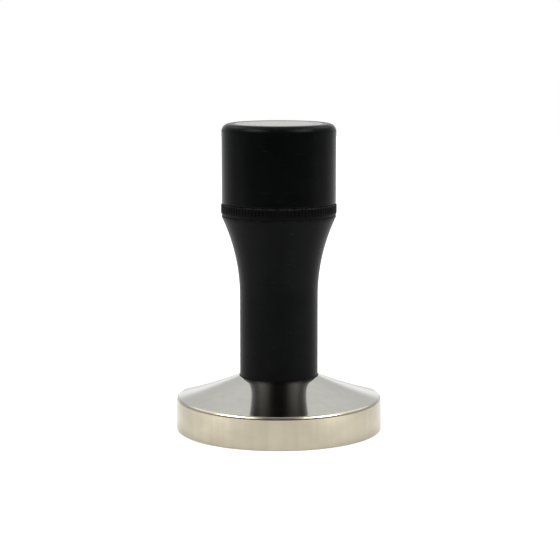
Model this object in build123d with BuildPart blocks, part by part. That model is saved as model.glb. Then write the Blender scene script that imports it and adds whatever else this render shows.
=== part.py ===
from build123d import *
import os
from math import radians, sin, sqrt, tan

# Adjustable spring-loaded espresso tamper, in millimetres.
# +Z is up along the tamper's axis. The origin is the centre of the flat tamping face.
#
# The foot and its push rod stand still. The handle, the lock ring and the cap slide down over the
# rod by a short travel once the hand's force passes the spring's preload. Screwing the cap up or
# down its thread sets that preload, and the lock ring jams against the cap to hold the setting.

# ---------------------------------------------------------------- driving sizes

# steel foot
base_diameter = 58.0  # fits a 58 mm filter basket
rim_height = 9.15  # where the straight side and the cone would meet
cone_angle = 19.05  # mean slope of the upper side, degrees from level
cone_hollow = 0.3  # the upper side sags this much below a straight cone
foot_round = 0.25  # edge round of the tamping face
shoulder_round = 1.0  # edge round between the side and the cone
socket_depth = 4.85  # the handle's tube dips this far into the foot

# handle
tube_diameter = 22.0
grip_length = 22.6  # straight tube between the foot and the flare
flare_height = 22.4
head_diameter = 32.0  # top of the flare, and the cap
rim_land = 0.4  # straight edge at the top of the flare
tube_end_chamfer = 0.4
chamber_depth = 28.4  # spring chamber, from the top of the neck to its floor
chamber_step = 3.48  # width of the chamber's floor around the rod's bore
neck_chamfer = 0.5

# lock ring
ring_height = 3.3
ring_proud = 0.2  # the ring stands this far out of the handle and the cap
knurl_count = 96
knurl_depth = 0.28
ring_top_chamfer = 0.35
ring_foot_rise = 0.85  # height of the long bevel under the knurl
ring_foot_bevel = 0.3  # width of that bevel

# cap
cap_height = 22.17
cap_wall = 1.3  # wall around the thread insert
cap_top_round = 2.2
cap_foot_chamfer = 0.3
ceiling_thickness = 4.45  # between the badge and the hollow
neck_headroom = 1.0  # free height over the neck
insert_wall = 1.25  # brass wall, to the thread's mean diameter
insert_length = 11.0
insert_lead = 0.8  # the insert starts this far inside the cap
hollow_relief = 0.2  # the hollow over the insert is this much wider than the thread
badge_rim = 1.35  # flat rim of the cap around the badge
badge_thickness = 0.6
badge_sink = 0.05  # badge face below the rim of the cap
badge_edge_chamfer = 0.15
adhesive_thickness = 0.2

# push rod and its fasteners
rod_diameter = 12.0
stud_diameter = 8.0
stud_depth = 7.2  # thread depth in the foot
stud_reach = 8.5  # thread depth in the rod
stud_end_gap = 0.2  # free depth at both ends of the stud
stud_key = 4.0  # hexagon key, across flats
rod_thread_diameter = 6.0
nut_height = 5.0
nut_across_flats = 10.0
nut_corner_angle = 30.0
washer_thickness = 1.2
washer_diameter = 11.8
thread_end_reach = 1.0  # rod end above its nut
fastener_chamfer = 0.5

# spring set
press_travel = 1.5  # how far the handle sinks when the preload is passed
wire_diameter = 2.6
spring_turns = 5.2
spring_wall_gap = 1.45  # between the coils and the chamber wall
bumper_thickness = 1.5
piston_thickness = 4.0
thrust_thickness = 2.6
spigot_height = 1.0  # centres the spring on both plates
plate_chamfer = 0.4
ball_diameter = 5.0
ball_sink = 1.1  # ball below the top of the thrust plate
ball_key_gap = 2.3  # ball centre to the tip of the calibration screw
calibration_diameter = 8.0
calibration_length = 4.5
calibration_key = 4.0
calibration_key_depth = 1.8
calibration_sink = 0.2  # screw head below the badge's pocket

# guides
bush_wall = 1.46
lower_bush_length = 12.0
upper_bush_length = 9.0
bush_inset = 0.5  # bush ends below the ends of the bore
bush_chamfer = 0.3
pin_diameter = 2.0
pin_depth = 5.0  # pressed into the chamber floor
pin_tip_sink = 0.3  # pin tips below the top of the piston plate
pin_count = 2
oring_section = 1.48
oring_groove_width = 1.9
oring_above_end = 0.7  # metal between the tube's end and the groove

# clearances, each on one side
stop_gap = 0.05
socket_play = 0.15
seat_gap = 0.1  # between the handle, the lock ring and the cap
thread_play = 0.05  # threads are plain cylinders at their mean diameter
rod_play = 0.04
piston_play = 0.1
fit_play = 0.02  # parts pressed or glued together
screw_play = 0.03  # screws in plain holes
pin_play = 0.1
spigot_play = 0.15

# ---------------------------------------------------------------- worked-out places

base_radius = base_diameter / 2
tube_radius = tube_diameter / 2
head_radius = head_diameter / 2
ring_radius = head_radius + ring_proud
socket_radius = tube_radius + socket_play

# heights of the foot and the tube
cone_top_z = rim_height + (base_radius - socket_radius) * tan(radians(cone_angle))
socket_floor_z = cone_top_z - socket_depth
tube_end_z = socket_floor_z + press_travel + stop_gap

# heights up the handle
flare_start_z = cone_top_z + grip_length
flare_top_z = flare_start_z + flare_height
shoulder_z = flare_top_z + rim_land
ring_foot_z = shoulder_z + seat_gap
ring_top_z = ring_foot_z + ring_height
cap_foot_z = ring_top_z + seat_gap
cap_top_z = cap_foot_z + cap_height

# radii of the cap and the neck, from the outside in
badge_radius = head_radius - cap_top_round - badge_rim
insert_radius = head_radius - cap_wall
thread_radius = insert_radius - insert_wall
neck_radius = thread_radius - thread_play
cap_hollow_radius = thread_radius + hollow_relief

# radii of the guides and the spring, from the rod out
rod_radius = rod_diameter / 2
bush_bore = rod_radius + rod_play
bush_radius = bush_bore + bush_wall
rod_bore_radius = bush_radius + fit_play
chamber_radius = rod_bore_radius + chamber_step
piston_radius = chamber_radius - piston_play
spring_outer_radius = chamber_radius - spring_wall_gap
spring_mean_radius = spring_outer_radius - wire_diameter / 2
spigot_radius = spring_mean_radius - wire_diameter / 2 - spigot_play

# the cap's insert, then its ceiling and what hangs under it from the top down
insert_foot_z = cap_foot_z + insert_lead
insert_top_z = insert_foot_z + insert_length
badge_top_z = cap_top_z - badge_sink
badge_foot_z = badge_top_z - badge_thickness
pocket_floor_z = badge_foot_z - adhesive_thickness
ceiling_z = pocket_floor_z - ceiling_thickness
neck_top_z = ceiling_z - neck_headroom
calibration_top_z = pocket_floor_z - calibration_sink
calibration_tip_z = calibration_top_z - calibration_length
ball_radius = ball_diameter / 2
ball_z = calibration_tip_z - ball_key_gap
thrust_top_z = ball_z - ball_radius + ball_sink
thrust_foot_z = thrust_top_z - thrust_thickness

# spring set from the chamber floor up
chamber_floor_z = neck_top_z - chamber_depth
piston_foot_z = chamber_floor_z + bumper_thickness
piston_top_z = piston_foot_z + piston_thickness
washer_foot_z = piston_top_z + spigot_height
nut_foot_z = washer_foot_z + washer_thickness
rod_top_z = nut_foot_z + nut_height + thread_end_reach

# a cone of 90 degrees that the ball just touches
cone_apex_reach = (ball_radius + fit_play) / sin(radians(45))

stud_radius = stud_diameter / 2
rod_thread_radius = rod_thread_diameter / 2
calibration_radius = calibration_diameter / 2
pin_radius = pin_diameter / 2
pin_circle_radius = (rod_bore_radius + piston_radius) / 2
oring_radius = oring_section / 2
oring_centre_z = tube_end_z + tube_end_chamfer + oring_above_end + oring_groove_width / 2
oring_circle_radius = socket_radius - fit_play - oring_radius
oring_groove_radius = oring_circle_radius - oring_radius - fit_play

# ---------------------------------------------------------------- foot and push rod

with BuildPart() as tamper_base:
    with BuildSketch(Plane.XZ):
        with BuildLine():
            Polyline((0, 0), (base_radius, 0), (base_radius, rim_height))
            SagittaArc((base_radius, rim_height), (socket_radius, cone_top_z), cone_hollow)
            Polyline(
                (socket_radius, cone_top_z),
                (socket_radius, socket_floor_z),
                (0, socket_floor_z),
                (0, 0),
            )
        make_face()
    revolve(axis=Axis.Z)
    level_rings = tamper_base.edges().filter_by(GeomType.CIRCLE).filter_by(Plane.XY)
    side_rings = level_rings.group_by(SortBy.RADIUS)[-1].sort_by(Axis.Z)
    fillet(side_rings[0], foot_round)
    fillet(side_rings[-1], shoulder_round)
    with Locations(Plane.XY.offset(socket_floor_z)):
        Hole(radius=stud_radius + screw_play, depth=stud_depth)
tamper_base.part.label = "tamper_base"

with BuildPart() as base_stud:
    with BuildSketch(Plane.XY.offset(socket_floor_z - stud_depth + stud_end_gap)):
        Circle(stud_radius)
    extrude(amount=stud_depth + stud_reach - 2 * stud_end_gap)
    chamfer(base_stud.edges().filter_by(GeomType.CIRCLE), fastener_chamfer)
    with BuildSketch(base_stud.faces().sort_by(Axis.Z)[-1]):
        RegularPolygon(radius=stud_key / 2, side_count=6, major_radius=False)
    extrude(amount=-stud_key, mode=Mode.SUBTRACT)
base_stud.part.label = "base_stud"

with BuildPart() as push_rod:
    with BuildSketch(Plane.XY.offset(socket_floor_z)):
        Circle(rod_radius)
    extrude(amount=piston_foot_z - socket_floor_z)
    chamfer(push_rod.edges().filter_by(GeomType.CIRCLE), fastener_chamfer)
    with BuildSketch(Plane.XY.offset(piston_foot_z)):
        Circle(rod_thread_radius)
    extrude(amount=rod_top_z - piston_foot_z)
    chamfer(push_rod.edges().group_by(Axis.Z)[-1], fastener_chamfer)
    with Locations(Plane.XY.offset(socket_floor_z).rotated((180, 0, 0))):
        Hole(radius=stud_radius + screw_play, depth=stud_reach)
push_rod.part.label = "push_rod"

with BuildPart() as piston_plate:
    with BuildSketch(Plane.XY.offset(piston_foot_z)):
        Circle(piston_radius)
    extrude(amount=piston_thickness)
    chamfer(piston_plate.edges().filter_by(GeomType.CIRCLE), plate_chamfer)
    with BuildSketch(Plane.XY.offset(piston_top_z)):
        Circle(spigot_radius)
    extrude(amount=spigot_height)
    chamfer(piston_plate.edges().group_by(Axis.Z)[-1], plate_chamfer / 2)
    with Locations(Plane.XY.offset(washer_foot_z)):
        Hole(radius=rod_thread_radius + screw_play)
        with PolarLocations(pin_circle_radius, pin_count):
            Hole(radius=pin_radius + pin_play)
piston_plate.part.label = "piston_plate"

with BuildPart() as rod_washer:
    with BuildSketch(Plane.XY.offset(washer_foot_z)):
        Circle(washer_diameter / 2)
        Circle(rod_thread_radius + screw_play, mode=Mode.SUBTRACT)
    extrude(amount=washer_thickness)
rod_washer.part.label = "rod_washer"

with BuildPart() as rod_nut:
    with BuildSketch(Plane.XY.offset(nut_foot_z)):
        RegularPolygon(radius=nut_across_flats / 2, side_count=6, major_radius=False)
    extrude(amount=nut_height)
    # the corners are turned off on both faces
    with BuildSketch(Plane.XZ):
        with BuildLine():
            corner_radius = nut_across_flats / sqrt(3)
            corner_drop = (corner_radius - nut_across_flats / 2) * tan(radians(nut_corner_angle))
            Polyline(
                (0, nut_foot_z),
                (nut_across_flats / 2, nut_foot_z),
                (corner_radius, nut_foot_z + corner_drop),
                (corner_radius, nut_foot_z + nut_height - corner_drop),
                (nut_across_flats / 2, nut_foot_z + nut_height),
                (0, nut_foot_z + nut_height),
                close=True,
            )
        make_face()
    revolve(axis=Axis.Z, mode=Mode.INTERSECT)
    with Locations(Plane.XY.offset(nut_foot_z + nut_height)):
        Hole(radius=rod_thread_radius + screw_play)
rod_nut.part.label = "rod_nut"

with BuildPart() as main_spring:
    # open coils with both ends ground flat, so that they stand on the plates
    spring_length = thrust_foot_z - piston_top_z
    spring_pitch = spring_length / spring_turns
    with BuildLine() as coil:
        Helix(
            pitch=spring_pitch,
            height=spring_length,
            radius=spring_mean_radius,
            center=(0, 0, piston_top_z),
        )
    with BuildSketch(Plane(origin=coil.line @ 0, x_dir=(1, 0, 0), z_dir=coil.line % 0)):
        Circle(wire_diameter / 2)
    sweep(path=coil.line, is_frenet=True)
    split(bisect_by=Plane.XY.offset(piston_top_z), keep=Keep.TOP)
    split(bisect_by=Plane.XY.offset(thrust_foot_z), keep=Keep.BOTTOM)
main_spring.part.label = "main_spring"

# ---------------------------------------------------------------- handle and its guides

with BuildPart() as handle_body:
    with BuildSketch(Plane.XZ):
        with BuildLine():
            groove_foot_z = oring_centre_z - oring_groove_width / 2
            groove_top_z = oring_centre_z + oring_groove_width / 2
            Polyline(
                (rod_bore_radius, tube_end_z),
                (tube_radius - tube_end_chamfer, tube_end_z),
                (tube_radius, tube_end_z + tube_end_chamfer),
                (tube_radius, groove_foot_z),
                (oring_groove_radius, groove_foot_z),
                (oring_groove_radius, groove_top_z),
                (tube_radius, groove_top_z),
                (tube_radius, flare_start_z),
            )
            TangentArc((tube_radius, flare_start_z), (head_radius, flare_top_z), tangent=(0, 1))
            Polyline(
                (head_radius, flare_top_z),
                (head_radius, shoulder_z),
                (neck_radius, shoulder_z),
                (neck_radius, neck_top_z - neck_chamfer),
                (neck_radius - neck_chamfer, neck_top_z),
                (chamber_radius, neck_top_z),
                (chamber_radius, chamber_floor_z),
                (rod_bore_radius, chamber_floor_z),
                (rod_bore_radius, tube_end_z),
            )
        make_face()
    revolve(axis=Axis.Z)
    with Locations(Plane.XY.offset(chamber_floor_z)):
        with PolarLocations(pin_circle_radius, pin_count):
            Hole(radius=pin_radius + fit_play, depth=pin_depth)
handle_body.part.label = "handle_body"

with BuildPart() as lower_bush:
    with BuildSketch(Plane.XY.offset(tube_end_z + bush_inset)):
        Circle(bush_radius)
        Circle(bush_bore, mode=Mode.SUBTRACT)
    extrude(amount=lower_bush_length)
    chamfer(lower_bush.edges().filter_by(GeomType.CIRCLE), bush_chamfer)
lower_bush.part.label = "lower_bush"

with BuildPart() as upper_bush:
    with BuildSketch(Plane.XY.offset(chamber_floor_z - bush_inset)):
        Circle(bush_radius)
        Circle(bush_bore, mode=Mode.SUBTRACT)
    extrude(amount=-upper_bush_length)
    chamfer(upper_bush.edges().filter_by(GeomType.CIRCLE), bush_chamfer)
upper_bush.part.label = "upper_bush"

with BuildPart() as guide_pins:
    with BuildSketch(Plane.XY.offset(chamber_floor_z - pin_depth)):
        with PolarLocations(pin_circle_radius, pin_count):
            Circle(pin_radius)
    extrude(amount=pin_depth + bumper_thickness + piston_thickness - pin_tip_sink)
    chamfer(guide_pins.edges().filter_by(GeomType.CIRCLE), bush_chamfer)
guide_pins.part.label = "guide_pins"

with BuildPart() as bumper_washer:
    with BuildSketch(Plane.XY.offset(chamber_floor_z)):
        Circle(piston_radius)
        Circle(rod_bore_radius, mode=Mode.SUBTRACT)
        with PolarLocations(pin_circle_radius, pin_count):
            Circle(pin_radius + pin_play, mode=Mode.SUBTRACT)
    extrude(amount=bumper_thickness)
bumper_washer.part.label = "bumper_washer"

with BuildPart() as socket_oring:
    with BuildSketch(Plane.XZ):
        with Locations((oring_circle_radius, oring_centre_z)):
            Circle(oring_radius)
    revolve(axis=Axis.Z)
socket_oring.part.label = "socket_oring"

# ---------------------------------------------------------------- thrust plate and ball

with BuildPart() as thrust_plate:
    with BuildSketch(Plane.XY.offset(thrust_foot_z)):
        Circle(piston_radius)
    extrude(amount=thrust_thickness)
    chamfer(thrust_plate.edges().filter_by(GeomType.CIRCLE), plate_chamfer)
    with BuildSketch(Plane.XY.offset(thrust_foot_z)):
        Circle(spigot_radius)
    extrude(amount=-spigot_height)
    chamfer(thrust_plate.edges().group_by(Axis.Z)[0], plate_chamfer / 2)
    with BuildSketch(Plane.XZ):
        seat_depth = cone_apex_reach - (ball_z - thrust_top_z)
        with BuildLine():
            Polyline(
                (0, thrust_top_z - seat_depth),
                (seat_depth, thrust_top_z),
                (0, thrust_top_z),
                close=True,
            )
        make_face()
    revolve(axis=Axis.Z, mode=Mode.SUBTRACT)
thrust_plate.part.label = "thrust_plate"

with BuildPart() as pivot_ball:
    with BuildSketch(Plane.XZ):
        with BuildLine():
            RadiusArc((0, ball_z - ball_radius), (0, ball_z + ball_radius), -ball_radius)
            Line((0, ball_z + ball_radius), (0, ball_z - ball_radius))
        make_face()
    revolve(axis=Axis.Z)
pivot_ball.part.label = "pivot_ball"

# ---------------------------------------------------------------- cap

with BuildPart() as cap_shell:
    with BuildSketch(Plane.XZ) as cap_section:
        with BuildLine():
            Polyline(
                (insert_radius + fit_play, cap_foot_z),
                (head_radius, cap_foot_z),
                (head_radius, cap_top_z),
                (badge_radius + fit_play, cap_top_z),
                (badge_radius + fit_play, pocket_floor_z),
                (calibration_radius + screw_play, pocket_floor_z),
                (calibration_radius + screw_play, ceiling_z),
                (cap_hollow_radius, ceiling_z),
                (cap_hollow_radius, insert_top_z),
                (insert_radius + fit_play, insert_top_z),
                close=True,
            )
        make_face()
        outer_corners = cap_section.vertices().group_by(Axis.X)[-1].sort_by(Axis.Y)
        chamfer(outer_corners[0], cap_foot_chamfer)
        fillet(outer_corners[-1], cap_top_round)
    revolve(axis=Axis.Z)
cap_shell.part.label = "cap_shell"

with BuildPart() as cap_thread_insert:
    with BuildSketch(Plane.XY.offset(insert_foot_z)):
        Circle(insert_radius)
        Circle(thread_radius, mode=Mode.SUBTRACT)
    extrude(amount=insert_length)
cap_thread_insert.part.label = "cap_thread_insert"

with BuildPart() as calibration_screw:
    with BuildSketch(Plane.XY.offset(calibration_tip_z)):
        Circle(calibration_radius)
    extrude(amount=calibration_length)
    chamfer(calibration_screw.edges().filter_by(GeomType.CIRCLE), fastener_chamfer)
    with BuildSketch(calibration_screw.faces().sort_by(Axis.Z)[-1]):
        RegularPolygon(radius=calibration_key / 2, side_count=6, major_radius=False)
    extrude(amount=-calibration_key_depth, mode=Mode.SUBTRACT)
    with BuildSketch(Plane.XZ):
        dimple_depth = cone_apex_reach - ball_key_gap
        with BuildLine():
            Polyline(
                (0, calibration_tip_z),
                (dimple_depth, calibration_tip_z),
                (0, calibration_tip_z + dimple_depth),
                close=True,
            )
        make_face()
    revolve(axis=Axis.Z, mode=Mode.SUBTRACT)
calibration_screw.part.label = "calibration_screw"

with BuildPart() as badge_adhesive:
    with BuildSketch(Plane.XY.offset(pocket_floor_z)):
        Circle(badge_radius - badge_edge_chamfer)
    extrude(amount=adhesive_thickness)
badge_adhesive.part.label = "badge_adhesive"

with BuildPart() as badge:
    with BuildSketch(Plane.XY.offset(badge_foot_z)):
        Circle(badge_radius)
    extrude(amount=badge_thickness)
    chamfer(badge.edges().group_by(Axis.Z)[-1], badge_edge_chamfer)
badge.part.label = "badge"

# ---------------------------------------------------------------- lock ring

with BuildPart() as lock_ring:
    with BuildSketch(Plane.XZ) as ring_section:
        with BuildLine():
            Polyline(
                (thread_radius, ring_foot_z),
                (ring_radius - ring_foot_bevel, ring_foot_z),
                (ring_radius, ring_foot_z + ring_foot_rise),
                (ring_radius, ring_top_z - ring_top_chamfer),
                (ring_radius - ring_top_chamfer, ring_top_z),
                (thread_radius, ring_top_z),
                close=True,
            )
        make_face()
    revolve(axis=Axis.Z)
    with BuildSketch(Plane.XY.offset(ring_foot_z)):
        with PolarLocations(ring_radius, knurl_count):
            Rectangle(knurl_depth * sqrt(2), knurl_depth * sqrt(2), rotation=45)
    extrude(amount=ring_height, mode=Mode.SUBTRACT)
lock_ring.part.label = "lock_ring"

# ---------------------------------------------------------------- export

pieces = (
    tamper_base,
    base_stud,
    push_rod,
    piston_plate,
    rod_washer,
    rod_nut,
    main_spring,
    handle_body,
    lower_bush,
    upper_bush,
    guide_pins,
    bumper_washer,
    socket_oring,
    thrust_plate,
    pivot_ball,
    cap_shell,
    cap_thread_insert,
    calibration_screw,
    badge_adhesive,
    badge,
    lock_ring,
)

os.makedirs("parts", exist_ok=True)
for piece in pieces:
    export_step(piece.part, f"parts/{piece.part.label}.step")
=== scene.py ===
import math

import bmesh
import bpy
from mathutils import Matrix, Vector


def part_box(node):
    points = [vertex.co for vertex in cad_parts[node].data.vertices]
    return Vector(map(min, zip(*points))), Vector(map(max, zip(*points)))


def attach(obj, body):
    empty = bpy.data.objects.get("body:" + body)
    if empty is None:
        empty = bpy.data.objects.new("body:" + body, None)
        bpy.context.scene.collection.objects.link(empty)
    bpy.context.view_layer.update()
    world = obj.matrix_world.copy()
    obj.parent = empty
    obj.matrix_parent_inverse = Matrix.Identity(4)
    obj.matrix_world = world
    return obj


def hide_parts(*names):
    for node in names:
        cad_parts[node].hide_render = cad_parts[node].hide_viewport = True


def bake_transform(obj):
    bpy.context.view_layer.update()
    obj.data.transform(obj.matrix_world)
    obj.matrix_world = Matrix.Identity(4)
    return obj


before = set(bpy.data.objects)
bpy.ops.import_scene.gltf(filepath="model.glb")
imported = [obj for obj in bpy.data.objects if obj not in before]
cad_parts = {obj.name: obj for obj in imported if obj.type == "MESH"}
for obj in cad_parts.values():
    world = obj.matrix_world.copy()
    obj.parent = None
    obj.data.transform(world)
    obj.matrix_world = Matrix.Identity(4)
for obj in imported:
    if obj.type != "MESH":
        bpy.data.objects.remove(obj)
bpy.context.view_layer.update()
mm = 0.001
print("frame loaded,", len(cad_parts), "nodes")

turnSteps = 256  # faces round a lathed piece
sameRing = 0.004 * mm  # verts this close in radius and height are on one ring


def radiusOf(vert):
    return math.hypot(vert.co.x, vert.co.y)


def latheOutline(points, steps=turnSteps, closed=True):
    # spins an outline of (radius, height) points round Z; an open one starts and ends on the axis
    bm = bmesh.new()
    verts = [bm.verts.new((r, 0, z)) for r, z in points]
    edges = [bm.edges.new(pair) for pair in zip(verts, verts[1:])]
    if closed:
        edges.append(bm.edges.new((verts[-1], verts[0])))
    bmesh.ops.spin(bm, geom=verts + edges, axis=(0, 0, 1), cent=(0, 0, 0),
                   angle=math.tau, steps=steps, use_merge=True)
    bmesh.ops.remove_doubles(bm, verts=bm.verts, dist=0.0005 * mm)
    flat = [f for f in bm.faces if f.calc_area() < 1e-8 * mm ** 2]
    bmesh.ops.delete(bm, geom=flat, context="FACES")
    bmesh.ops.recalc_face_normals(bm, faces=bm.faces)
    return bm


def ringEdges(bm, radius, height):
    # the edges that run round the axis at one radius and height
    def onRing(v):
        return abs(radiusOf(v) - radius) < sameRing and abs(v.co.z - height) < sameRing
    return [e for e in bm.edges if onRing(e.verts[0]) and onRing(e.verts[1])]


def roundRing(bm, radius, height, width, segments=6):
    bmesh.ops.bevel(bm, geom=ringEdges(bm, radius, height), offset=width, segments=segments,
                    profile=0.5, affect="EDGES", offset_type="OFFSET", material=-1)


def paintFaces(bm, index, test):
    for face in bm.faces:
        centre = face.calc_center_median()
        if test(math.hypot(centre.x, centre.y), centre.z, face.normal):
            face.material_index = index


def finishPiece(name, bm, materials, body, stands=(), sharp=35):
    mesh = bpy.data.meshes.new(name)
    bm.to_mesh(mesh)
    bm.free()
    mesh.shade_smooth()
    mesh.set_sharp_from_angle(angle=math.radians(sharp))
    piece = bpy.data.objects.new(name, mesh)
    bpy.context.scene.collection.objects.link(piece)
    for material in materials:
        mesh.materials.append(material)
    weighted = piece.modifiers.new("even shading", "WEIGHTED_NORMAL")
    weighted.keep_sharp = True
    weighted.weight = 100
    if body:
        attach(piece, body)
    if stands:
        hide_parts(*stands)
    return piece


# the adjusting thread: the same helix on the neck, in the insert and in the ring, so they screw together
thread = {
    "pitch": 1.5 * mm,
    "depth": 0.6 * mm,
    "rowsPerPitch": 8,
    "runOut": 0.9 * mm,  # the groove grows to its full depth over this length
}


def threadRows(radius, low, high):
    # outline points between two heights, on rows that every threaded piece shares, foot to top
    row = thread["pitch"] / thread["rowsPerPitch"]
    count = range(math.ceil(low / row + 0.01), math.floor(high / row - 0.01) + 1)
    return [(radius, low)] + [(radius, row * n) for n in count] + [(radius, high)]


def cutThread(bm, radius, low, high, inside=False):
    # moves the rows in and out along a helix; the thread runs out into the clear side at both ends
    clear = 1 if inside else -1
    for vert in bm.verts:
        reach = radiusOf(vert)
        if abs(reach - radius) > 0.01 * mm or not low - 0.001 * mm < vert.co.z < high + 0.001 * mm:
            continue
        phase = (vert.co.z / thread["pitch"] - math.atan2(vert.co.y, vert.co.x) / math.tau) % 1
        wave = abs(4 * phase - 2) - 1
        full = min(1.0, max(0.0, min(vert.co.z - low, high - vert.co.z) / thread["runOut"]))
        shift = thread["depth"] / 2 * (wave * full + clear * (1 - full))
        vert.co.x *= (radius + shift) / reach
        vert.co.y *= (radius + shift) / reach
    bm.normal_update()


# node groups that several materials share
def newGroup(name, inputs, outputs):
    group = bpy.data.node_groups.new(name, "ShaderNodeTree")
    for label, value in inputs:
        socket = group.interface.new_socket(label, in_out="INPUT", socket_type="NodeSocketFloat")
        socket.default_value = value
    for label in outputs:
        group.interface.new_socket(label, in_out="OUTPUT", socket_type="NodeSocketFloat")
    enter = group.nodes.new("NodeGroupInput")
    leave = group.nodes.new("NodeGroupOutput")
    return group, enter, leave


def mathNode(tree, operation, first, second=None, clamp=False):
    node = tree.nodes.new("ShaderNodeMath")
    node.operation = operation
    node.use_clamp = clamp
    for socket, value in zip(node.inputs, (first, second)):
        if value is None:
            continue
        if isinstance(value, (int, float)):
            socket.default_value = value
        else:
            tree.links.new(value, socket)
    return node.outputs[0]


def place(tree):
    # object coordinates in millimetres, with the distance from the axis
    coords = tree.nodes.new("ShaderNodeTexCoord")
    scaled = tree.nodes.new("ShaderNodeVectorMath")
    scaled.operation = "SCALE"
    scaled.inputs["Scale"].default_value = 1 / mm
    tree.links.new(coords.outputs["Object"], scaled.inputs[0])
    split = tree.nodes.new("ShaderNodeSeparateXYZ")
    tree.links.new(scaled.outputs[0], split.inputs[0])
    x, y, z = split.outputs
    flat = mathNode(tree, "ADD", mathNode(tree, "MULTIPLY", x, x), mathNode(tree, "MULTIPLY", y, y))
    return scaled.outputs[0], x, y, z, mathNode(tree, "SQRT", flat)


def noiseAt(tree, vector, scale, detail=3.0, roughness=0.5):
    noise = tree.nodes.new("ShaderNodeTexNoise")
    noise.inputs["Detail"].default_value = detail
    noise.inputs["Roughness"].default_value = roughness
    tree.links.new(vector, noise.inputs["Vector"])
    if isinstance(scale, (int, float)):
        noise.inputs["Scale"].default_value = scale
    else:
        tree.links.new(scale, noise.inputs["Scale"])
    return noise.outputs["Fac"]


def remap(tree, value, low, high, toLow=0.0, toHigh=1.0, smooth=False):
    node = tree.nodes.new("ShaderNodeMapRange")
    node.interpolation_type = "SMOOTHSTEP" if smooth else "LINEAR"
    tree.links.new(value, node.inputs["Value"])
    for label, amount in (("From Min", low), ("From Max", high), ("To Min", toLow), ("To Max", toHigh)):
        if isinstance(amount, (int, float)):
            node.inputs[label].default_value = amount
        else:
            tree.links.new(amount, node.inputs[label])
    return node.outputs["Result"]


def makeTurningMarks():
    # rings left by a lathe tool: fast change along the outline, slow change round the axis
    group, enter, leave = newGroup("turningMarks", [("Lines per mm", 6.0), ("Drift", 0.05)],
                                   ["Lines", "Bands", "Strips"])
    _, x, y, z, radius = place(group)
    along = mathNode(group, "ADD", z, radius)
    fine = group.nodes.new("ShaderNodeCombineXYZ")
    group.links.new(mathNode(group, "MULTIPLY", x, enter.outputs["Drift"]), fine.inputs[0])
    group.links.new(mathNode(group, "MULTIPLY", y, enter.outputs["Drift"]), fine.inputs[1])
    group.links.new(mathNode(group, "MULTIPLY", along, enter.outputs["Lines per mm"]), fine.inputs[2])
    group.links.new(noiseAt(group, fine.outputs[0], 1.0, 4.0, 0.6), leave.inputs["Lines"])
    # slow changes of tone: wide bands, and strips that run up the side
    for label, across, up in (("Bands", 0.12, 0.25), ("Strips", 0.5, 0.03)):
        wide = group.nodes.new("ShaderNodeCombineXYZ")
        for index, value in enumerate((x, y)):
            group.links.new(mathNode(group, "MULTIPLY", value, across), wide.inputs[index])
        group.links.new(mathNode(group, "MULTIPLY", along, up), wide.inputs[2])
        group.links.new(noiseAt(group, wide.outputs[0], 1.0, 2.0), leave.inputs[label])
    return group


def makeFineGrain():
    # the even tooth of a blasted or moulded surface, and slow clouding over it
    group, enter, leave = newGroup("fineGrain", [("Grains per mm", 9.0)], ["Grain", "Clouds"])
    where = place(group)[0]
    group.links.new(noiseAt(group, where, enter.outputs["Grains per mm"], 2.0, 0.7), leave.inputs["Grain"])
    group.links.new(noiseAt(group, where, 0.16, 3.0), leave.inputs["Clouds"])
    return group


def makeEdgeWearHighlight():
    # a grey ring that is partly wear where hands and benches rub and partly a painted highlight line:
    # strongest at one radius and height, broken up by noise
    group, enter, leave = newGroup(
        "edgeWearHighlight", [("Radius", 10.0), ("Height", 0.0), ("Width", 0.4), ("Amount", 0.6)], ["Mask"])
    where, _, _, z, radius = place(group)
    outward = mathNode(group, "SUBTRACT", radius, enter.outputs["Radius"])
    upward = mathNode(group, "SUBTRACT", z, enter.outputs["Height"])
    squares = mathNode(group, "ADD", mathNode(group, "MULTIPLY", outward, outward),
                       mathNode(group, "MULTIPLY", upward, upward))
    near = remap(group, mathNode(group, "SQRT", squares), 0.0, enter.outputs["Width"], 1.0, 0.0, smooth=True)
    broken = remap(group, noiseAt(group, where, 0.9, 5.0, 0.65), 0.42, 0.68)
    mask = mathNode(group, "MULTIPLY", mathNode(group, "MULTIPLY", near, broken), enter.outputs["Amount"])
    group.links.new(mask, leave.inputs["Mask"])
    return group


def makeHairScratches():
    # sparse fine scratches that run in mixed directions
    group, enter, leave = newGroup("hairScratches", [("Amount", 0.3)], ["Mask"])
    where = place(group)[0]
    total = None
    for turn, spread in ((0.5, 0.9), (1.9, 1.3), (2.7, 0.7)):
        mapping = group.nodes.new("ShaderNodeMapping")
        mapping.inputs["Rotation"].default_value = (turn, turn * 0.6, turn * 1.7)
        mapping.inputs["Scale"].default_value = (0.05, 1.6 * spread, 2.2 * spread)
        group.links.new(where, mapping.inputs["Vector"])
        line = remap(group, noiseAt(group, mapping.outputs[0], 1.0, 2.0), 0.7, 0.78)
        total = line if total is None else mathNode(group, "MAXIMUM", total, line)
    group.links.new(mathNode(group, "MULTIPLY", total, enter.outputs["Amount"]), leave.inputs["Mask"])
    return group


turningMarks = makeTurningMarks()
fineGrain = makeFineGrain()
edgeWearHighlight = makeEdgeWearHighlight()
hairScratches = makeHairScratches()


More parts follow.
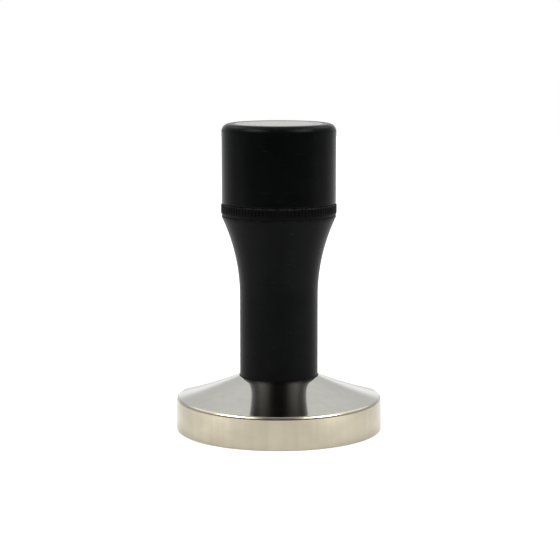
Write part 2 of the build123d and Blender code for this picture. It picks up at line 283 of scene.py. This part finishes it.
# the kinds of finish that the pieces are made in
finish = {
    "clouds": (0.3, 0.7),  # noise values between which one tone turns into another
    "grain": (0.25, 0.75),  # noise values between which the roughness changes
    "turnedTones": (0.75, 1.25),  # the same for the two slow noises of turned metal, added up
    "hairDepth": 0.002 * mm,
    "hairRough": 0.15,  # a scratch is this much rougher
    "blackHairs": 0.2,
    "blackLinesPerMm": 3.0,
    "blackGloss": 0.033,  # specular level; the dyed layer mirrors very little
    "blackDeep": 0.7,  # the darker clouds have this share of the colour
    "blackSpread": 0.05,  # the roughness varies by this much both ways
    "blackLineDepth": 0.3,  # share of the grain's depth
    "wearHighlightGrey": 0.02,  # grey that the worn edges and the painted highlight lines gain
    "wearHighlightGain": 4,
    "wearHighlightPolish": 0.1,  # the worn edges and the painted highlight lines are this much smoother
}


def newMaterial(name, baseColor, metallic, roughness):
    material = bpy.data.materials.new(name)
    material.use_nodes = True
    material.diffuse_color = (*baseColor, 1)
    shader = material.node_tree.nodes["Principled BSDF"]
    shader.inputs["Base Color"].default_value = (*baseColor, 1)
    shader.inputs["Metallic"].default_value = metallic
    shader.inputs["Roughness"].default_value = roughness
    return material, material.node_tree, shader


def useGroup(tree, group, **values):
    node = tree.nodes.new("ShaderNodeGroup")
    node.node_tree = group
    for label, value in values.items():
        node.inputs[label.replace("_", " ")].default_value = value
    return node.outputs


def mixColor(tree, mask, colorA, colorB):
    node = tree.nodes.new("ShaderNodeMix")
    node.data_type = "RGBA"  # its colour sockets are inputs 6 and 7 and output 2
    tree.links.new(mask, node.inputs["Factor"])
    for socket, value in ((node.inputs[6], colorA), (node.inputs[7], colorB)):
        if isinstance(value, tuple):
            socket.default_value = (*value, 1)
        else:
            tree.links.new(value, socket)
    return node.outputs[2]


def addBump(tree, shader, height, depth, before=None):
    bump = tree.nodes.new("ShaderNodeBump")
    bump.inputs["Distance"].default_value = depth
    bump.inputs["Strength"].default_value = 1.0
    tree.links.new(height, bump.inputs["Height"])
    if before is not None:
        tree.links.new(before, bump.inputs["Normal"])
    tree.links.new(bump.outputs[0], shader.inputs["Normal"])
    return bump.outputs[0]


def turnedMetal(name, color, darker, roughness, linesPerMm, lineDepth, scratches=0.25, roughSpread=0.08,
                edgeTint=1.0):
    # bare metal off a lathe; edgeTint below 1 dims it at grazing angles
    material, tree, shader = newMaterial(name, color, 1.0, roughness)
    shader.inputs["Specular Tint"].default_value = (edgeTint, edgeTint, edgeTint, 1)
    marks = useGroup(tree, turningMarks, Lines_per_mm=linesPerMm)
    hairs = useGroup(tree, hairScratches, Amount=scratches)["Mask"]
    cloudy = mathNode(tree, "ADD", marks["Bands"], marks["Strips"])
    tone = mixColor(tree, remap(tree, cloudy, *finish["turnedTones"]), darker, color)
    tree.links.new(tone, shader.inputs["Base Color"])
    rough = remap(tree, marks["Lines"], *finish["grain"], roughness - roughSpread, roughness + roughSpread)
    rougher = mathNode(tree, "MULTIPLY", hairs, finish["hairRough"])
    tree.links.new(mathNode(tree, "ADD", rough, rougher, clamp=True), shader.inputs["Roughness"])
    normal = addBump(tree, shader, marks["Lines"], lineDepth)
    addBump(tree, shader, hairs, -finish["hairDepth"], before=normal)
    return material


def blackAnodised(name, color, roughness, wearHighlightRings, grainsPerMm=9.0, grainDepth=0.004 * mm):
    # satin black over blasted aluminium; the list gives the (radius, height, width, amount) of its grey
    # edges, which are partly wear and partly painted highlight lines
    material, tree, shader = newMaterial(name, color, 0.0, roughness)
    shader.inputs["Specular IOR Level"].default_value = finish["blackGloss"]
    grain = useGroup(tree, fineGrain, Grains_per_mm=grainsPerMm)
    marks = useGroup(tree, turningMarks, Lines_per_mm=finish["blackLinesPerMm"])
    hairs = useGroup(tree, hairScratches, Amount=finish["blackHairs"])["Mask"]
    deep = tuple(c * finish["blackDeep"] for c in color)
    tone = mixColor(tree, remap(tree, grain["Clouds"], *finish["clouds"]), deep, color)
    wearHighlightMask = hairs
    for radius, height, width, amount in wearHighlightRings:
        mask = useGroup(tree, edgeWearHighlight, Radius=radius / mm, Height=height / mm, Width=width / mm,
                        Amount=amount)["Mask"]
        wearHighlightMask = mathNode(tree, "MAXIMUM", wearHighlightMask, mask)
    # the grey of the edges: partly bare metal from wear, partly painted highlight lines
    wearHighlightColor = tuple(c * finish["wearHighlightGain"] + finish["wearHighlightGrey"] for c in color)
    tree.links.new(mixColor(tree, wearHighlightMask, tone, wearHighlightColor), shader.inputs["Base Color"])
    spread = finish["blackSpread"]
    rough = remap(tree, grain["Grain"], *finish["clouds"], roughness - spread, roughness + spread)
    smoother = mathNode(tree, "MULTIPLY", wearHighlightMask, finish["wearHighlightPolish"])
    tree.links.new(mathNode(tree, "SUBTRACT", rough, smoother, clamp=True), shader.inputs["Roughness"])
    normal = addBump(tree, shader, grain["Grain"], grainDepth)
    addBump(tree, shader, marks["Lines"], grainDepth * finish["blackLineDepth"], before=normal)
    return material


def grainedSolid(name, color, darker, metallic, roughness, grainsPerMm, grainDepth, spread=0.1):
    # cast, sintered, plated, rubber or glue surfaces: grain with slow clouding
    material, tree, shader = newMaterial(name, color, metallic, roughness)
    grain = useGroup(tree, fineGrain, Grains_per_mm=grainsPerMm)
    tone = mixColor(tree, remap(tree, grain["Clouds"], *finish["clouds"]), darker, color)
    tree.links.new(tone, shader.inputs["Base Color"])
    rough = remap(tree, grain["Grain"], *finish["grain"], roughness - spread, roughness + spread)
    tree.links.new(rough, shader.inputs["Roughness"])
    addBump(tree, shader, grain["Grain"], grainDepth)
    return material


def spanOf(node):
    low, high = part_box(node)
    return high[0], low[2], high[2]  # radius, foot, top


footRadius, floorZ, coneTop = spanOf("tamper_base")
headRadius, tubeEnd, neckTop = spanOf("handle_body")
_, ringFoot, ringTop = spanOf("lock_ring")
capRadius, capFoot, capTop = spanOf("cap_shell")
badgeRadius, badgeFoot, badgeTop = spanOf("badge")
socketFloor = spanOf("push_rod")[1]
bumperRadius, chamberFloor, _ = spanOf("bumper_washer")
insertRadius, insertFoot, insertTop = spanOf("cap_thread_insert")


# the steel foot
foot = {
    "rimHeight": 9.15 * mm,  # where the side and the cone would meet
    "socketRadius": 11.15 * mm,
    "coneHollow": 0.3 * mm,  # the upper side sags this much below a straight cone
    "coneSteps": 12,
    "faceRound": 0.25 * mm,
    "shoulderRound": 0.76 * mm,
    "mouthRound": 0.12 * mm,
    "studHole": 4.03 * mm,
    "studDepth": 7.2 * mm,
    "polishedColors": ((0.56, 0.54, 0.485), (0.53, 0.51, 0.46)),
    "polishedRough": 0.085,
    "satinColors": ((0.403, 0.37, 0.29), (0.35, 0.323, 0.252)),
    "satinRough": 0.2,
    "polishedSlope": 0.9,  # faces that look up more steeply than this are polished
}


def makeFoot():
    polished = turnedMetal("polished steel", *foot["polishedColors"], foot["polishedRough"],
                           linesPerMm=5.0, lineDepth=0.0002 * mm, scratches=0.12, roughSpread=0.02)
    satin = turnedMetal("turned steel", *foot["satinColors"], foot["satinRough"],
                        linesPerMm=9.0, lineDepth=0.0004 * mm, scratches=0.15, roughSpread=0.04)
    size = foot
    run, rise = footRadius - size["socketRadius"], coneTop - size["rimHeight"]
    slant = math.hypot(run, rise)
    cone = []
    for step in range(size["coneSteps"] + 1):
        part = step / size["coneSteps"]
        sag = 4 * size["coneHollow"] * part * (1 - part)
        cone.append((footRadius - run * part - sag * rise / slant,
                     size["rimHeight"] + rise * part - sag * run / slant))
    bm = latheOutline([
        (0, floorZ),
        (footRadius, floorZ),
        *cone,
        (size["socketRadius"], socketFloor),
        (size["studHole"], socketFloor),
        (size["studHole"], socketFloor - size["studDepth"]),
        (0, socketFloor - size["studDepth"]),
    ], closed=False)
    roundRing(bm, footRadius, floorZ, size["faceRound"])
    roundRing(bm, footRadius, size["rimHeight"], size["shoulderRound"], 10)
    roundRing(bm, size["socketRadius"], coneTop, size["mouthRound"], 4)
    # the side, its rounded shoulder and the socket are satin; the upper side is polished
    paintFaces(bm, 1, lambda r, z, n: n.z < size["polishedSlope"] or r < size["socketRadius"] or
               z < size["rimHeight"] - size["shoulderRound"])
    return finishPiece("steelFoot", bm, [polished, satin], "base", ["tamper_base"])


makeFoot()
print("foot made")


# the handle: tube, flare and threaded neck
handle = {
    "tubeRadius": 11.0 * mm,
    "flareStart": coneTop + 22.6 * mm,
    "flareHeight": 22.4 * mm,
    "flareSteps": 28,
    "land": 0.4 * mm,  # straight rim above the flare
    "neckRadius": 13.4 * mm,
    "neckRound": 0.3 * mm,
    "shoulderRound": 0.08 * mm,
    "threadMargin": 0.5 * mm,  # plain neck at both ends of the thread
    "boreRadius": 7.52 * mm,
    "chamberRadius": bumperRadius + 0.1 * mm,
    "grooveRadius": 9.63 * mm,
    "grooveFoot": tubeEnd + 1.1 * mm,
    "grooveWidth": 1.9 * mm,
    "endRound": 0.4 * mm,
    "color": (0.0044, 0.0047, 0.005),
    "roughness": 0.36,
}


def makeHandle():
    size = handle
    flareTop = size["flareStart"] + size["flareHeight"]
    shoulder = flareTop + size["land"]
    rise = headRadius - size["tubeRadius"]
    sweep = (size["flareHeight"] ** 2 + rise ** 2) / (2 * rise)  # radius of the flare's arc
    fullAngle = math.asin(size["flareHeight"] / sweep)
    flare = []
    for step in range(size["flareSteps"] + 1):
        angle = fullAngle * step / size["flareSteps"]
        flare.append((size["tubeRadius"] + sweep * (1 - math.cos(angle)),
                      size["flareStart"] + sweep * math.sin(angle)))
    root = size["neckRadius"] - thread["depth"] / 2
    threadLow, threadHigh = shoulder + size["threadMargin"], neckTop - size["threadMargin"]
    bm = latheOutline([
        (size["boreRadius"], tubeEnd),
        (size["tubeRadius"], tubeEnd),
        (size["tubeRadius"], size["grooveFoot"]),
        (size["grooveRadius"], size["grooveFoot"]),
        (size["grooveRadius"], size["grooveFoot"] + size["grooveWidth"]),
        (size["tubeRadius"], size["grooveFoot"] + size["grooveWidth"]),
        *flare,
        (headRadius, shoulder),
        (root, shoulder),
        *threadRows(size["neckRadius"], threadLow, threadHigh),
        (root, neckTop),
        (size["chamberRadius"], neckTop),
        (size["chamberRadius"], chamberFloor),
        (size["boreRadius"], chamberFloor),
    ])
    roundRing(bm, size["tubeRadius"], tubeEnd, size["endRound"], 4)
    roundRing(bm, headRadius, shoulder, size["shoulderRound"], 3)
    roundRing(bm, root, neckTop, size["neckRound"], 3)
    cutThread(bm, size["neckRadius"], threadLow, threadHigh)
    black = blackAnodised("black handle", size["color"], size["roughness"], [
        (headRadius, shoulder, 0.35 * mm, 0.35),
        (size["tubeRadius"], tubeEnd, 1.2 * mm, 0.3),
    ])
    return finishPiece("blackHandle", bm, [black], "handle", ["handle_body"])


makeHandle()
print("handle made")


# the knurled lock ring
ring = {
    "overhang": 0.2 * mm,  # past the handle's rim
    "bore": 13.45 * mm,
    "threadMargin": 0.1 * mm,
    "teeth": 96,
    "facesPerTooth": 6,
    "grooveDepth": 0.2 * mm,
    "grooveSlope": 1.5,  # wall steepness; above 1 it leaves a flat crest
    "grooveFoot": 1.45 * mm,  # the grooves run out between here and the bevel
    "footBevel": 0.3 * mm,
    "footRise": 0.85 * mm,
    "footEase": 0.12,  # share of the bevel that its upper edge is eased by
    "topChamfer": 0.35 * mm,
    "topEase": 0.2,
    "color": (0.003, 0.0031, 0.0032),
    "roughness": 0.5,
}


def makeLockRing():
    size = ring
    steps = size["teeth"] * size["facesPerTooth"]
    outer = headRadius + size["overhang"]
    clear = size["bore"] + thread["depth"] / 2
    threadLow, threadHigh = ringFoot + size["threadMargin"], ringTop - size["threadMargin"]
    bm = latheOutline([
        *threadRows(size["bore"], threadLow, threadHigh)[::-1],
        (clear, ringFoot),
        (outer - size["footBevel"], ringFoot),
        (outer - size["footBevel"] * size["footEase"], ringFoot + size["footRise"] * (1 - size["footEase"])),
        (outer, ringFoot + size["footRise"]),
        (outer, ringFoot + size["grooveFoot"]),
        (outer, ringTop - size["topChamfer"]),
        (outer - size["topChamfer"] * size["topEase"], ringTop - size["topChamfer"] * (1 - size["topEase"])),
        (outer - size["topChamfer"], ringTop),
        (clear, ringTop),
    ], steps=steps)
    cutThread(bm, size["bore"], threadLow, threadHigh, inside=True)
    # straight grooves: each vertex above the plain foot is drawn in to the groove's wall
    grooved = [v for v in bm.verts if v.co.z > ringFoot + size["grooveFoot"] - sameRing]
    for vert in grooved:
        turn = math.atan2(vert.co.y, vert.co.x) / math.tau * size["teeth"]
        offTooth = abs(turn - round(turn)) * 2  # 0 in the groove, 1 on the crest
        limit = outer - size["grooveDepth"] * max(0.0, 1 - offTooth * size["grooveSlope"])
        reach = radiusOf(vert)
        if reach > limit:
            vert.co.x *= limit / reach
            vert.co.y *= limit / reach
    # the grey along the top chamfer is partly wear and partly a painted highlight line
    black = blackAnodised("black ring", size["color"], size["roughness"], [
        (outer - size["topChamfer"] * 0.5, ringTop - size["topChamfer"] * 0.5, 0.4 * mm, 0.6),
    ], grainsPerMm=12.0)
    return finishPiece("knurledRing", bm, [black], "lock_ring", ["lock_ring"], sharp=25)


makeLockRing()
print("lock ring made")


# the cap, its badge and its thread insert
cap = {
    "topRound": 2.2 * mm,
    "footRound": 0.3 * mm,
    "insertBore": 14.72 * mm,
    "hollow": 13.65 * mm,
    "ceiling": 4.45 * mm,
    "screwBore": 4.03 * mm,
    "pocketDepth": 0.85 * mm,
    "pocketPlay": 0.02 * mm,
    "rimRound": 0.12 * mm,
    "color": (0.0032, 0.0034, 0.0035),
    "roughness": 0.24,
}
badge = {
    "bevel": 0.15 * mm,
    "ringRadius": 10.6 * mm,
    "ringWidth": 0.25 * mm,
    "ringDepth": 0.08 * mm,
    "colors": ((0.77, 0.735, 0.70), (0.69, 0.655, 0.62)),
    "roughness": 0.3,
}


def makeCap():
    size = cap
    pocket = capTop - size["pocketDepth"]
    ceiling = pocket - size["ceiling"]
    pocketRadius = badgeRadius + size["pocketPlay"]
    roundMiddle = size["topRound"] * 0.3  # the top edge's round lies this far in and down
    bm = latheOutline([
        (size["insertBore"], capFoot),
        (capRadius, capFoot),
        (capRadius, capTop),
        (pocketRadius, capTop),
        (pocketRadius, pocket),
        (size["screwBore"], pocket),
        (size["screwBore"], ceiling),
        (size["hollow"], ceiling),
        (size["hollow"], insertTop),
        (size["insertBore"], insertTop),
    ])
    roundRing(bm, capRadius, capTop, size["topRound"], 16)
    roundRing(bm, capRadius, capFoot, size["footRound"], 4)
    roundRing(bm, pocketRadius, capTop, size["rimRound"], 3)
    # the grey rings on the top round and at the foot are partly wear and partly painted highlight lines
    black = blackAnodised("black cap", size["color"], size["roughness"], [
        (capRadius - roundMiddle, capTop - roundMiddle, 1.1 * mm, 0.18),
        (capRadius, capFoot, 0.35 * mm, 0.5),
    ])
    return finishPiece("blackCap", bm, [black], "cap", ["cap_shell"])


def makeBadge():
    size = badge
    inner = size["ringRadius"] - size["ringWidth"]
    low = badgeTop - size["ringDepth"]
    bm = latheOutline([
        (0, badgeFoot),
        (badgeRadius, badgeFoot),
        (badgeRadius, badgeTop),
        (size["ringRadius"], badgeTop),
        (size["ringRadius"], low),
        (inner, low),
        (inner, badgeTop),
        (0, badgeTop),
    ], closed=False)
    roundRing(bm, badgeRadius, badgeTop, size["bevel"], 3)
    silver = turnedMetal("silver badge", *size["colors"], size["roughness"],
                         linesPerMm=7.0, lineDepth=0.0008 * mm, scratches=0.2, edgeTint=0.62)
    return finishPiece("silverBadge", bm, [silver], "cap", ["badge"])


insert = {
    "wall": 1.25 * mm,
    "threadMargin": 0.15 * mm,
    "gripGrooves": 3,  # shallow grooves that hold the glue
    "grooveDepth": 0.15 * mm,
    "grooveWidth": 0.7 * mm,
    "colors": ((0.78, 0.60, 0.30), (0.68, 0.50, 0.24)),
    "roughness": 0.26,
}


def makeInsert():
    size = insert
    bore = insertRadius - size["wall"]
    clear = bore + thread["depth"] / 2
    threadLow, threadHigh = insertFoot + size["threadMargin"], insertTop - size["threadMargin"]
    outline = [*threadRows(bore, threadLow, threadHigh)[::-1],
               (clear, insertFoot), (insertRadius, insertFoot)]
    grooveRadius = insertRadius - size["grooveDepth"]
    for count in range(size["gripGrooves"]):
        middle = insertFoot + (insertTop - insertFoot) * (count + 1) / (size["gripGrooves"] + 1)
        low, high = middle - size["grooveWidth"] / 2, middle + size["grooveWidth"] / 2
        outline += [(insertRadius, low), (grooveRadius, low), (grooveRadius, high), (insertRadius, high)]
    bm = latheOutline([*outline, (insertRadius, insertTop), (clear, insertTop)])
    cutThread(bm, bore, threadLow, threadHigh, inside=True)
    brass = turnedMetal("turned brass", *size["colors"], size["roughness"],
                        linesPerMm=5.0, lineDepth=0.002 * mm)
    return finishPiece("threadInsert", bm, [brass], "cap", ["cap_thread_insert"])


makeCap()
makeBadge()
makeInsert()
print("cap made")


# the main spring, in two lengths split halfway up; it spans two joints
coil = {
    "wireRadius": 1.3 * mm,
    "meanRadius": 8.25 * mm,
    "turns": 5.2,
    "facesPerTurn": 96,
    "wireFaces": 24,
    "colors": ((0.34, 0.35, 0.37), (0.24, 0.25, 0.27)),
    "roughness": 0.36,
}


def cutFlat(bm, height, upward):
    # cuts away what is above the height, or below it, and closes the cut
    geom = bm.verts[:] + bm.edges[:] + bm.faces[:]
    bmesh.ops.bisect_plane(bm, geom=geom, plane_co=(0, 0, height), plane_no=(0, 0, 1),
                           clear_outer=upward, clear_inner=not upward)
    bmesh.ops.holes_fill(bm, edges=[e for e in bm.edges if e.is_boundary])


def makeSpringLength(name, part, whole, wire):
    # winds the whole spring and keeps the part of it between two heights
    size = coil
    low, high = part
    start, end = whole
    steps = round(size["turns"] * size["facesPerTurn"])
    bm = bmesh.new()
    section = bmesh.ops.create_circle(bm, segments=size["wireFaces"], radius=size["wireRadius"])["verts"]
    bmesh.ops.rotate(bm, verts=section, matrix=Matrix.Rotation(math.pi / 2, 3, "X"))
    bmesh.ops.translate(bm, verts=section, vec=(size["meanRadius"], 0, start))
    bmesh.ops.spin(bm, geom=bm.verts[:] + bm.edges[:], axis=(0, 0, 1), cent=(0, 0, 0),
                   dvec=(0, 0, (end - start) / steps), angle=size["turns"] * math.tau, steps=steps)
    cutFlat(bm, low, upward=False)
    cutFlat(bm, high, upward=True)
    bmesh.ops.recalc_face_normals(bm, faces=bm.faces)
    piece = finishPiece(name, bm, [wire], None, ["main_spring"])
    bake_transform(piece)


def makeSpring():
    wire = grainedSolid("spring wire", *coil["colors"], 1.0, coil["roughness"], 6.0, 0.004 * mm)
    _, low, high = spanOf("main_spring")
    middle = (low + high) / 2
    makeSpringLength("lowerCoils", (low, middle), (low, high), wire)
    makeSpringLength("upperCoils", (middle, high), (low, high), wire)


makeSpring()
print("spring made")


# the inner pieces keep their CAD shape and get their own finishes
innerFinishes = {
    "ground steel": (("push_rod", "guide_pins"), turnedMetal, {
        "color": (0.62, 0.62, 0.62), "darker": (0.55, 0.55, 0.56), "roughness": 0.2,
        "linesPerMm": 14.0, "lineDepth": 0.0006 * mm}),
    "plate steel": (("piston_plate", "thrust_plate"), turnedMetal, {
        "color": (0.55, 0.55, 0.56), "darker": (0.47, 0.47, 0.48), "roughness": 0.32,
        "linesPerMm": 4.0, "lineDepth": 0.003 * mm}),
    "ball steel": (("pivot_ball",), turnedMetal, {
        "color": (0.74, 0.74, 0.75), "darker": (0.70, 0.70, 0.71), "roughness": 0.07,
        "linesPerMm": 3.0, "lineDepth": 0.0001 * mm, "scratches": 0.05, "roughSpread": 0.02}),
    "zinc plate": (("base_stud", "rod_washer", "rod_nut", "calibration_screw"), grainedSolid, {
        "color": (0.60, 0.61, 0.63), "darker": (0.48, 0.49, 0.51), "metallic": 1.0, "roughness": 0.34,
        "grainsPerMm": 10.0, "grainDepth": 0.003 * mm}),
    "sintered bronze": (("lower_bush", "upper_bush"), grainedSolid, {
        "color": (0.55, 0.36, 0.19), "darker": (0.40, 0.25, 0.13), "metallic": 1.0, "roughness": 0.48,
        "grainsPerMm": 5.0, "grainDepth": 0.012 * mm}),
    "black rubber": (("bumper_washer", "socket_oring"), grainedSolid, {
        "color": (0.022, 0.022, 0.023), "darker": (0.012, 0.012, 0.013), "metallic": 0.0, "roughness": 0.7,
        "grainsPerMm": 7.0, "grainDepth": 0.01 * mm}),
    "glue film": (("badge_adhesive",), grainedSolid, {
        "color": (0.62, 0.60, 0.54), "darker": (0.55, 0.53, 0.47), "metallic": 0.0, "roughness": 0.3,
        "grainsPerMm": 2.0, "grainDepth": 0.01 * mm}),
}


def finishInside():
    for name, (nodes, makeFinish, values) in innerFinishes.items():
        material = makeFinish(name, **values)
        for node in nodes:
            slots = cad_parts[node].data.materials
            slots.clear()
            slots.append(material)


finishInside()
print("inner pieces finished")


# floor, light and camera
studio = {
    "floorWidth": 1.6,
    "floorFront": 0.17,  # the pale sheet ends this far in front of the object
    "floorBack": 1.2,
    "floorColor": (0.74, 0.735, 0.725),
    "floorRough": 0.75,
    "floorGloss": 0.1,
    # the sheet's own glow by place, with its ranges in millimetres from the object's axis
    "frontGlow": 0.05,
    "backGlow": 0.5,
    "backRange": (40.0, 260.0),
    "sideGlow": 0.8,
    "sideRange": (18.0, 50.0),
    "besideGlow": 0.3,  # share of the side glow left beside the object
    "besideRange": (-35.0, -8.0),
    "contactGlow": 0.22,  # lifts the shadow close round the foot
    "contactRange": (30.0, 52.0),
    # the tent's light by direction, with its ranges in parts of a unit vector
    "skyColor": (0.97, 0.985, 1.0),
    "skyLow": 0.77,
    "skyHigh": 0.93,
    "skyRange": (0.3, 0.7),
    "frontAim": (0.0, -1.0, 0.12),  # the tent is dark on this side
    "frontRange": (-0.1, 0.6),
    "frontLow": 0.006,
    "frontHigh": 0.2,
    "frontRise": (0.2, 0.5),
    "backlight": 0.42,  # more light low behind the object
    "backlightFoot": (0.0, 0.12),
    "backlightTop": (0.15, 0.3),
    "backlightSides": (0.3, 0.95),
    "sidePanels": 2.5,  # a long bright panel high on each side, with a dark gap overhead
    "panelInner": (0.28, 0.5),
    "panelFoot": (0.42, 0.6),
    "panelOuter": (0.42, 0.66),
    "panelFade": 0.2,  # share of a panel's light left at its outer edge
    "softboxPlace": (0.46, -0.22, 0.62),
    "softboxAim": (0.0, 0.0, 0.05),
    "softboxSize": (0.4, 0.36),
    "softboxPower": 3.8,
    "softboxColor": (1.0, 0.98, 0.95),
}
view = {
    "distance": 506.2 * mm,
    "height": 117.8 * mm,
    "sideways": 0.32 * mm,
    "downTilt": 8.48,
    "lens": 116.85,
    "sensor": 36.0,
}


def makeFloor():
    material, tree, shader = newMaterial("pale floor", studio["floorColor"], 0.0, studio["floorRough"])
    shader.inputs["Specular IOR Level"].default_value = studio["floorGloss"]
    shader.inputs["Emission Color"].default_value = (*studio["floorColor"], 1)
    _, x, y, _, radius = place(tree)
    back = remap(tree, y, *studio["backRange"], studio["frontGlow"], studio["backGlow"], smooth=True)
    sides = remap(tree, mathNode(tree, "ABSOLUTE", x), *studio["sideRange"], 0.0, studio["sideGlow"],
                  smooth=True)
    ahead = remap(tree, y, *studio["besideRange"], 1.0, studio["besideGlow"], smooth=True)
    around = remap(tree, radius, *studio["contactRange"], studio["contactGlow"], 0.0, smooth=True)
    glow = mathNode(tree, "ADD", back, mathNode(tree, "MULTIPLY", sides, ahead))
    tree.links.new(mathNode(tree, "ADD", glow, around), shader.inputs["Emission Strength"])
    depth = studio["floorBack"] + studio["floorFront"]
    bm = bmesh.new()
    bmesh.ops.create_grid(bm, x_segments=8, y_segments=8, size=0.5)
    bmesh.ops.scale(bm, vec=(studio["floorWidth"], depth, 1), verts=bm.verts)
    bmesh.ops.translate(bm, vec=(0, depth / 2 - studio["floorFront"], 0), verts=bm.verts)
    mesh = bpy.data.meshes.new("floor")
    bm.to_mesh(mesh)
    bm.free()
    mesh.materials.append(material)
    floor = bpy.data.objects.new("floor", mesh)
    bpy.context.scene.collection.objects.link(floor)


def makeSky():
    # a pale tent all round, dark low on the side where the camera stands
    world = bpy.data.worlds.new("studio tent")
    world.use_nodes = True
    bpy.context.scene.world = world
    tree = world.node_tree
    tree.nodes.clear()
    coords = tree.nodes.new("ShaderNodeTexCoord")
    split = tree.nodes.new("ShaderNodeSeparateXYZ")
    tree.links.new(coords.outputs["Generated"], split.inputs[0])
    x, y, z = split.outputs
    front = tree.nodes.new("ShaderNodeVectorMath")
    front.operation = "DOT_PRODUCT"
    front.inputs[1].default_value = Vector(studio["frontAim"]).normalized()
    tree.links.new(coords.outputs["Generated"], front.inputs[0])
    tent = remap(tree, z, *studio["skyRange"], studio["skyLow"], studio["skyHigh"], smooth=True)
    dark = remap(tree, z, *studio["frontRise"], studio["frontLow"], studio["frontHigh"], smooth=True)
    glow = remap(tree, front.outputs["Value"], *studio["frontRange"], tent, dark, smooth=True)
    low = mathNode(tree, "MULTIPLY", remap(tree, z, *studio["backlightFoot"], smooth=True),
                   remap(tree, z, *studio["backlightTop"], studio["backlight"], 0.0, smooth=True))
    behind = remap(tree, y, *studio["backlightSides"], smooth=True)
    glow = mathNode(tree, "ADD", glow, mathNode(tree, "MULTIPLY", low, behind))
    aside = mathNode(tree, "ABSOLUTE", x)
    inner = remap(tree, aside, *studio["panelInner"], smooth=True)
    outer = remap(tree, aside, *studio["panelOuter"], 1.0, studio["panelFade"], smooth=True)
    panels = remap(tree, z, *studio["panelFoot"], 0.0, studio["sidePanels"], smooth=True)
    for share in (inner, outer):
        panels = mathNode(tree, "MULTIPLY", panels, share)
    background = tree.nodes.new("ShaderNodeBackground")
    background.inputs["Color"].default_value = (*studio["skyColor"], 1)
    tree.links.new(mathNode(tree, "ADD", glow, panels), background.inputs["Strength"])
    plain = tree.nodes.new("ShaderNodeBackground")  # what the camera itself sees
    plain.inputs["Color"].default_value = (1, 1, 1, 1)
    path = tree.nodes.new("ShaderNodeLightPath")
    either = tree.nodes.new("ShaderNodeMixShader")
    tree.links.new(path.outputs["Is Camera Ray"], either.inputs[0])
    tree.links.new(background.outputs[0], either.inputs[1])
    tree.links.new(plain.outputs[0], either.inputs[2])
    output = tree.nodes.new("ShaderNodeOutputWorld")
    tree.links.new(either.outputs[0], output.inputs["Surface"])


def makeLights():
    across, along, up = studio["softboxPlace"]
    for side in (-1, 1):
        data = bpy.data.lights.new("front softbox", "AREA")
        data.shape = "RECTANGLE"
        data.size, data.size_y = studio["softboxSize"]
        data.energy = studio["softboxPower"]
        data.color = studio["softboxColor"]
        lamp = bpy.data.objects.new("front softbox", data)
        lamp.location = (across * side, along, up)
        aim = Vector(studio["softboxAim"]) - lamp.location
        lamp.rotation_euler = aim.to_track_quat("-Z", "Y").to_euler()
        bpy.context.scene.collection.objects.link(lamp)


def makeCamera():
    data = bpy.data.cameras.new("camera")
    data.lens = view["lens"]
    data.sensor_width = view["sensor"]
    camera = bpy.data.objects.new("camera", data)
    camera.location = (view["sideways"], -view["distance"], view["height"])
    camera.rotation_euler = (math.radians(90 - view["downTilt"]), 0, 0)
    bpy.context.scene.collection.objects.link(camera)
    bpy.context.scene.camera = camera


makeFloor()
makeSky()
makeLights()
makeCamera()
bpy.context.scene.view_settings.view_transform = "Standard"
print("studio made")
